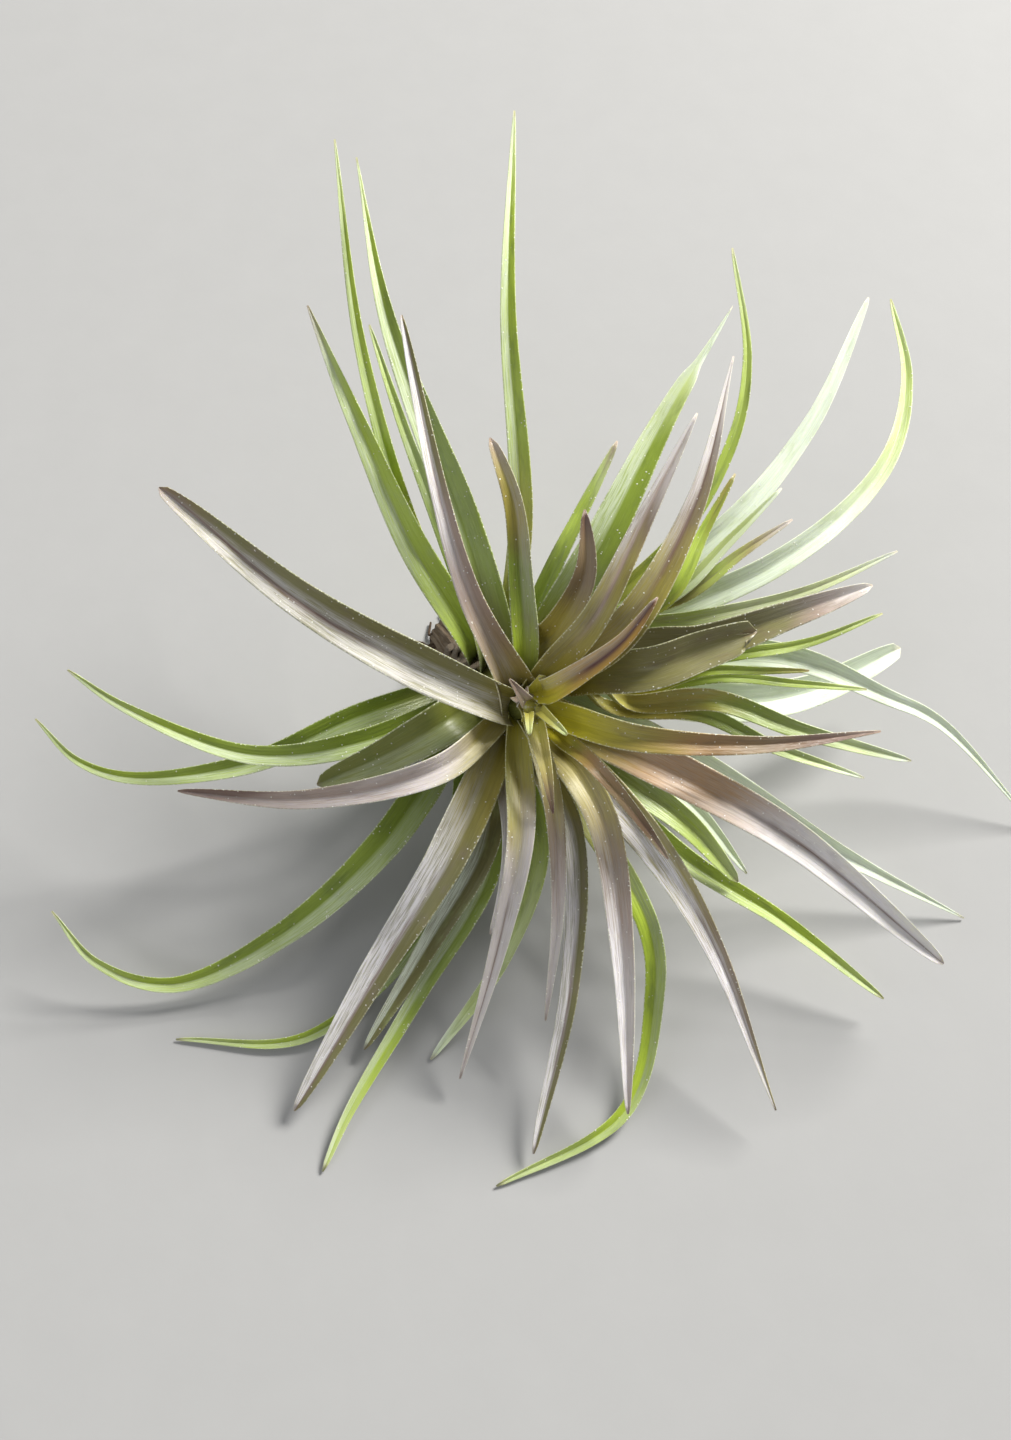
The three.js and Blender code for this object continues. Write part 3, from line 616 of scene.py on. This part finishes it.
def blade(name, look, width, taper, path, seat, index, hollow=AXIAL, rise=RISE):
    """A leaf's blade, with the hollow side to `hollow`."""
    rng = np.random.default_rng(index)
    foot, along, out = seat
    rib, length = midrib(name, path, foot, along, out, rise)
    u = np.linspace(0, 1, len(rib))[:, None]
    v = np.linspace(-1, 1, ACROSS + 1)[None, :]
    tangent, normal, side = directions(name, rng, rib, u, along, hollow)
    wide = widths(name, rng, u, width, taper)
    x, z = section(rng, u, v, wide, *channel(rng, u, v, wide, length))
    points = rib[:, None] + side[:, None] * x[..., None] + normal[:, None] * z[..., None]

    around = np.hstack([v, v[:, ::-1]])
    back = np.repeat([[0, 1]], v.size, axis=1)
    share = np.repeat(u, around.size, axis=1)
    place = np.repeat(around, len(rib), axis=0)
    if name in TORN:
        notch = 0.5 + 0.5 * np.sin(NOTCHES * around + NOTCH_SHIFT * np.sin(NOTCH_SHIFTS * around))
        points -= tangent[:, None] * (TORN[name] * notch * smoothstep(share, TORN_START, 1))[..., None]
    tint, silvery = dress(name, look, rng, share, place)
    return {
        "points": in_part(points.reshape(-1, 3)),
        "faces": rings(len(rib), around.size),
        "share": share.ravel(),
        "place": place.ravel(),
        "run": (share * length).ravel() + NOISE_STEP * index,
        "tint": tint,
        # This scurf attribute carries the painted sheen on one half as well as the scales.
        "scurf": (silvery + BACK_FILM * back).ravel(),
        "aside": (place * wide / 2).ravel(),
    }


def tube(path, radii, sides, tint, index, ridge=0.0, ridges=0):
    """A round body along even points, with ridges along it."""
    path, radii = np.array(path, float), np.array(radii, float)
    tangent = unit(np.gradient(path, axis=0))
    right = np.array([1.0, 0.0, 0.0]) if abs(tangent[0][0]) < UPRIGHT else np.array([0.0, 1.0, 0.0])
    turn = np.linspace(0, math.tau, sides, endpoint=False)
    grooved = 1 + ridge * np.sin(ridges * turn + RIDGE_SHIFT * np.sin(turn * RIDGE_SHIFTS + index))
    points = []
    for centre, along, radius in zip(path, tangent, radii):
        right = across(right, along)
        back = np.cross(along, right)
        ring = np.cos(turn)[:, None] * right + np.sin(turn)[:, None] * back
        points.append(centre + radius * grooved[:, None] * ring)
    count = len(path)
    share = np.repeat(np.linspace(0, 1, count), sides)
    return {
        "points": np.vstack(points),
        "faces": rings(count, sides),
        "share": share,
        "place": np.tile(np.cos(turn), count),
        "run": share * BODY_RUN + NOISE_STEP * index,
        "tint": np.tile(linear(tint), (count * sides, 1)),
        "scurf": np.zeros(count * sides),
        "aside": np.tile(np.cos(turn), count) * np.repeat(radii, sides),
    }


def piece(name, parts, material, node):
    """One mesh of one or more parts, which stands for a node of the frame."""
    faces, start = [], 0
    for part in parts:
        faces += [tuple(start + k for k in face) for face in part["faces"]]
        start += len(part["points"])
    mesh = bpy.data.meshes.new(name)
    mesh.from_pydata(np.vstack([part["points"] for part in parts]).tolist(), [], faces)
    mesh.validate()
    tint = np.vstack([part["tint"] for part in parts])
    colour = mesh.attributes.new("tint", "FLOAT_COLOR", "POINT")
    colour.data.foreach_set("color", np.hstack([tint, np.ones((len(tint), 1))]).ravel())
    for key in ("share", "place", "run", "scurf", "aside"):
        values = np.concatenate([part[key] for part in parts])
        mesh.attributes.new(key, "FLOAT", "POINT").data.foreach_set("value", values)
    mesh.polygons.foreach_set("use_smooth", [True] * len(mesh.polygons))
    mesh.materials.append(material)
    made = bpy.data.objects.new(name, mesh)
    bpy.context.scene.collection.objects.link(made)
    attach(made, "root")
    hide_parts(node)


# Materials.

class Shader:
    """A material's nodes, built by short calls."""

    def __init__(self, name):
        self.material = bpy.data.materials.new(name)
        self.material.use_nodes = True
        self.tree = self.material.node_tree
        self.surface = self.tree.nodes["Principled BSDF"]

    def node(self, kind, inputs=(), **settings):
        made = self.tree.nodes.new(kind)
        for key, value in settings.items():
            setattr(made, key, value)
        for key, value in dict(inputs).items():
            self.feed(made.inputs[key], value)
        return made

    def feed(self, socket, value):
        if isinstance(value, bpy.types.NodeSocket):
            self.tree.links.new(value, socket)
        else:
            socket.default_value = value

    def attribute(self, name, output="Fac"):
        return self.node("ShaderNodeAttribute", attribute_name=name).outputs[output]

    def object_space(self):
        return self.node("ShaderNodeTexCoord").outputs["Object"]

    def math(self, operation, a, b=0.0, clamp=False):
        made = self.node("ShaderNodeMath", {0: a, 1: b}, operation=operation, use_clamp=clamp)
        return made.outputs[0]

    def plus(self, a, b, clamp=False):
        return self.math("ADD", a, b, clamp)

    def times(self, a, b, clamp=False):
        return self.math("MULTIPLY", a, b, clamp)

    def mapped(self, value, low, high, to_low, to_high):
        inputs = {"Value": value, "From Min": low, "From Max": high, "To Min": to_low, "To Max": to_high}
        return self.node("ShaderNodeMapRange", inputs, interpolation_type="SMOOTHSTEP").outputs[0]

    def vector(self, x, y, z=0.0):
        return self.node("ShaderNodeCombineXYZ", {"X": x, "Y": y, "Z": z}).outputs[0]

    def noise(self, vector, scale, detail, roughness):
        inputs = {"Vector": vector, "Scale": scale, "Detail": detail, "Roughness": roughness}
        return self.node("ShaderNodeTexNoise", inputs).outputs["Fac"]

    def pattern(self, place, run, crosswise, lengthwise, *look):
        """Noise that is stretched along a part."""
        return self.noise(self.vector(self.times(place, crosswise), self.times(run, lengthwise)), *look)

    def mix(self, factor, a, b, blend="MIX"):
        made = self.node("ShaderNodeMix", data_type="RGBA", blend_type=blend)
        self.feed(made.inputs["Factor"], factor)
        self.feed(made.inputs[6], a)
        self.feed(made.inputs[7], b)
        return made.outputs[2]

    def finish(self, colour, roughness, height, bump, **plain):
        """The material, with bumps of this many millimetres."""
        self.feed(self.surface.inputs["Base Color"], colour)
        self.feed(self.surface.inputs["Roughness"], roughness)
        raised = self.node("ShaderNodeBump", {"Height": height, "Distance": bump * MM, "Strength": 1.0})
        self.feed(self.surface.inputs["Normal"], raised.outputs[0])
        for key, value in plain.items():
            self.surface.inputs[key.replace("_", " ")].default_value = value
        return self.material


def leaf_material(name, blush, film, scales, gloss):
    """A leaf's skin: `blush` mottles its tint, and scales of the colour `scales` cover `film` of it, where
    the scurf attribute, which also holds a painted sheen on one half, asks for them.
    """
    s = Shader(name)
    tint = s.attribute("tint", "Color")
    place, run, scurf, share, aside = map(s.attribute, ("place", "run", "scurf", "share", "aside"))
    streaks, fine, patches = (s.pattern(place, run, *look) for look in (STREAKS, FINE, PATCHES))
    margin = s.math("ABSOLUTE", place)

    blushed = s.times(s.mapped(patches, *SKIN["blush"]), s.mapped(share, *SKIN["blush grows"]))
    colour = s.mix(blushed, tint, blush)
    shaded = s.mix(1.0, colour, SHADE, "MULTIPLY")
    bare, silvery = LINED
    lined = s.plus(bare, s.times(scurf, silvery), clamp=True)
    colour = s.mix(s.times(s.mapped(streaks, *SKIN["dark streaks"]), lined), colour, shaded)
    bright = s.mix(1.0, colour, GLOW, "SCREEN")
    colour = s.mix(s.mapped(fine, *SKIN["light streaks"]), colour, bright)

    worn = s.mapped(s.plus(fine, streaks), *SKIN["worn film"])
    # The silvery film also paints a sheen on one half of some leaves, through the scurf attribute.
    silver = s.times(s.times(scurf, film, clamp=True), worn, clamp=True)
    colour = s.mix(silver, colour, scales)

    grain = s.vector(s.times(aside, SPECKS_PER_MM), s.times(run, SPECKS_PER_MM))
    cells = s.node("ShaderNodeTexVoronoi", {"Vector": grain, "Scale": 1.0}, feature="F1")
    drawn = s.node("ShaderNodeSeparateColor", {"Color": cells.outputs["Color"]}).outputs[0]
    crowd = s.mapped(margin, *SKIN["specks at the margins"])
    crowd = s.plus(crowd, s.mapped(patches, *SKIN["specks in patches"]))
    chosen = s.math("GREATER_THAN", s.plus(drawn, crowd), SPECK_CHANCE)
    speck = s.times(s.mapped(cells.outputs["Distance"], *SKIN["speck"]), chosen)
    colour = s.mix(s.times(speck, SPECK_COVER), colour, SPECK)

    broken = s.noise(s.vector(s.times(run, BROKEN_RUN), place), *BROKEN)
    rim = s.times(s.mapped(margin, *SKIN["rim"]), s.mapped(broken, *SKIN["broken rim"]))
    colour = s.mix(rim, colour, RIM)
    colour = s.mix(s.mapped(share, *SKIN["dry tip"]), colour, DRY_TIP)

    rough = s.plus(gloss, s.times(s.plus(silver, speck), DULLED))
    height = s.plus(s.times(streaks, LEAF_RELIEF["streaks"]), s.times(speck, LEAF_RELIEF["specks"]))
    height = s.plus(height, s.times(fine, LEAF_RELIEF["fine"]))
    return s.finish(
        colour, rough, height, LEAF_BUMP,
        Subsurface_Weight=0.15, Subsurface_Radius=(0.9, 1.0, 0.3), Subsurface_Scale=0.0004,
        Sheen_Weight=0.06, Sheen_Roughness=0.4, Sheen_Tint=(0.95, 0.95, 0.92, 1),
        Specular_IOR_Level=0.6,
    )


def dry_material(name, dark, light, crosswise):
    """Dry brown fibre, streaked along its length."""
    s = Shader(name)
    tint = s.attribute("tint", "Color")
    place, run, scurf = map(s.attribute, ("place", "run", "scurf"))
    fibres = s.pattern(place, run, crosswise, *FIBRES)
    stains = s.noise(s.object_space(), *STAINS)
    colour = s.mix(s.mapped(fibres, *FIBRE["light"]), dark, light)
    colour = s.mix(s.mapped(stains, *FIBRE["stained"]), colour, STAIN)
    colour = s.mix(s.mapped(scurf, *FIBRE["tinted"]), colour, tint)
    rough = s.mapped(fibres, *FIBRE["rough"])
    height = s.plus(fibres, s.times(stains, STAIN_RELIEF))
    return s.finish(colour, rough, height, DRY_BUMP, Specular_IOR_Level=0.3)


# The plant.

def stem_at(name, seat):
    """The middle, the direction and the radius of the stem or the shoot at a leaf's seat."""
    if name.startswith("fan"):
        return shoot_point(seat), unit(shoot_point(1) - shoot_point(0)), swell(seat, SHOOT["radii"])
    t = stem_share(seat)
    return stem_point(t), stem_tangent(t), swell(t, STEM["radii"])


def build_leaves(slots, skins):
    for index, (name, look, seat, width, taper, *path) in enumerate(LEAVES):
        centre, along, radius = stem_at(name, seat)
        out = across(np.array(path[0], float) - centre, along)
        foot = centre + out * (radius - SEAT_GAP)
        foot[:2] += FOOT_SHIFTS.get(name, (0, 0))
        part = blade(name, look, width, taper, path, (foot, along, out), index)
        piece("leaf_" + name, [part], skins[slots[name]], name)


def build_heart(slots, skins):
    radius = BUD["radius"]
    bud = stem_point(1.0)
    bud[2] += SEAT_GAP + radius
    t = np.linspace(BUD["end"], 1 - BUD["end"], BUD["rings"])
    middle = bud + np.outer((t - 0.5) * 2 * radius, AXIAL)
    ball = tube(middle, radius * np.sin(np.pi * t), BUD["sides"], "pear", BUD["seed"])
    ball["points"] = in_part(ball["points"])
    parts = [ball]
    for index, (name, look, width, taper, *path) in enumerate(HEART):
        out = across(np.array(path[0], float) - bud, AXIAL)
        foot = bud + out * radius / 2
        parts.append(blade(name, look, width, taper, path, (foot, AXIAL, out), len(LEAVES) + index))
    piece("heart_bud", parts, skins[slots["heart"]], "heart")


def build_core():
    """The stem itself, flat where it rests, with dry bark that turns green towards its tip."""
    t = np.linspace(0, 1, STEM["rings"])
    radii = [swell(k, STEM["radii"]) for k in t]
    core = tube([stem_point(k) for k in t], radii, STEM["sides"], "bark", STEM["seed"], *STEM["ridges"])
    floor = depth_at_height(core["points"][:, 1], 0.0)
    core["points"][:, 2] = np.maximum(core["points"][:, 2], floor)
    core["scurf"] = 1 - smoothstep(core["share"], *STEM_LIVES)
    living = 1 - core["scurf"][:, None]
    core["tint"] = core["tint"] * (1 - living) + linear("moss") * living
    return core


def build_shoot():
    t = np.linspace(SHOOT["start"], 1, SHOOT["rings"])
    radii = [swell(max(k, 0), SHOOT["radii"]) for k in t]
    path = [shoot_point(k) for k in t]
    return tube(path, radii, SHOOT["sides"], "olive", SHOOT["seed"], *SHOOT["ridges"])


def build_husk(index, turn, depth):
    """The stub of an old leaf, with its hollow side to the stem."""
    share = stem_share(depth)
    along = stem_tangent(share)
    angle = math.radians(turn)
    out = across(np.array([math.cos(angle), math.sin(angle), 0.0]), along)
    foot = stem_point(share) + out * (swell(share, STEM["radii"]) - HUSK["sunk"])
    path = []
    for k in (HUSK["middle"], 1.0):
        path.append(foot + along * HUSK["reach"] * k + out * (HUSK["sunk"] + HUSK["spread"] * k))
    seat = (foot, -out, along)
    seed = HUSK["seed"] + index
    husk = blade("husk", "bronze", HUSK["width"], HUSK["taper"], path, seat, seed, hollow=-out, rise=0.0)
    count = len(husk["points"])
    husk["tint"] = np.tile(linear("husk"), (count, 1))
    husk["scurf"] = np.ones(count)
    return husk


def build_stem(material):
    parts = [build_core(), build_shoot()]
    for part in parts:
        part["points"] = in_part(part["points"])
    parts += [build_husk(index, turn, depth) for index, (turn, depth) in enumerate(HUSKS)]
    piece("stem_and_husks", parts, material, "stem")


def build_roots(material):
    rng = np.random.default_rng(ROOTS["seed"])
    x, y, height = in_part(np.array([stem_point(ROOTS["share"])]))[0] / MM
    base = np.array([x, y, 0.0])
    ring = swell(ROOTS["share"], STEM["radii"])
    low = ROOTS["radius"] + ROOTS["clear"]
    parts = []
    for i in range(ROOTS["count"]):
        turn = math.tau * (i + ROOTS["scatter"] * rng.random()) / ROOTS["count"]
        way = np.array([math.cos(turn), math.sin(turn), 0.0])
        aside = np.array([-math.sin(turn), math.cos(turn), 0.0])
        length = ROOTS["length"] * chance(rng, *ROOTS["lengths"])
        curl = ROOTS["curl"] * rng.normal(size=3)
        path = [base + way * ring * ROOTS["inset"] + [0, 0, height * chance(rng, *ROOTS["tops"])]]
        reaches = (ROOTS["drop"], ROOTS["middle"] * length, length)
        for reach, over, bend, amount in zip(reaches, ROOTS["heights"], curl, ROOTS["curls"]):
            path.append(base + way * (ring + reach) + [0, 0, low + over] + aside * bend * amount)
        run, _ = even_curve(path, ROOTS["step"], ROOTS["rings"])
        run[:, 2] = np.maximum(run[:, 2], low)
        thinned = 1 - ROOTS["thinning"] * np.linspace(0, 1, len(run))
        radii = ROOTS["radius"] * thinned * chance(rng, *ROOTS["radii"])
        parts.append(tube(run, radii, ROOTS["sides"], "root", i))
    for part in parts:
        part["points"] = part["points"] * MM
        part["scurf"] = np.ones(len(part["points"]))
    piece("root_tuft", parts, material, "roots")


# The studio.

def build_camera():
    camera = bpy.data.cameras.new("camera")
    camera.sensor_width = CAMERA["sensor"]
    camera.lens = CAMERA["lens"]
    made = bpy.data.objects.new("camera", camera)
    made.location = in_part(np.array([CAMERA["place"]]))[0]
    made.rotation_euler = (LEAN, 0.0, 0.0)
    bpy.context.scene.collection.objects.link(made)
    bpy.context.scene.camera = made


def build_light(name, place, size, power, colour):
    light = bpy.data.lights.new(name, "AREA")
    light.shape = "DISK"
    light.size = size
    light.energy = power
    light.color = colour
    made = bpy.data.objects.new(name, light)
    toward = np.array(LIT) - np.array(place)
    pitch = math.atan2(math.hypot(toward[0], toward[1]), -toward[2])
    made.rotation_euler = (pitch, 0.0, math.atan2(toward[1], toward[0]) - math.pi / 2)
    made.location = place
    bpy.context.scene.collection.objects.link(made)


def build_floor():
    mesh = bpy.data.meshes.new("floor")
    corners = [(x * FLOOR_HALF, y * FLOOR_HALF, 0) for x, y in ((-1, -1), (1, -1), (1, 1), (-1, 1))]
    mesh.from_pydata(corners, [], [(0, 1, 2, 3)])
    s = Shader("floor")
    grain = s.noise(s.object_space(), *FLOOR_GRAIN)
    colour = s.mix(grain, *FLOOR_COLOURS)
    mesh.materials.append(s.finish(colour, FLOOR_ROUGH, grain, FLOOR_BUMP, Specular_IOR_Level=0.15))
    floor = bpy.data.objects.new("floor", mesh)
    bpy.context.scene.collection.objects.link(floor)


def build_studio():
    world = bpy.data.worlds.new("studio")
    world.use_nodes = True
    for key, value in SKY.items():
        world.node_tree.nodes["Background"].inputs[key].default_value = value
    bpy.context.scene.world = world
    for name, look in LIGHTS.items():
        build_light(name, *look)
    bpy.context.scene.view_settings.view_transform = "Standard"


def main():
    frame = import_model()
    build_camera()
    slots = {part["node"]: part["material_slot"] for part in frame["record"]["subparts"]}
    skins = {name: leaf_material(name, *look) for name, look in SKINS.items()}
    build_leaves(slots, skins)
    build_heart(slots, skins)
    build_stem(dry_material("stem", *DRY["stem"]))
    build_roots(dry_material("root", *DRY["root"]))
    build_floor()
    build_studio()


main()
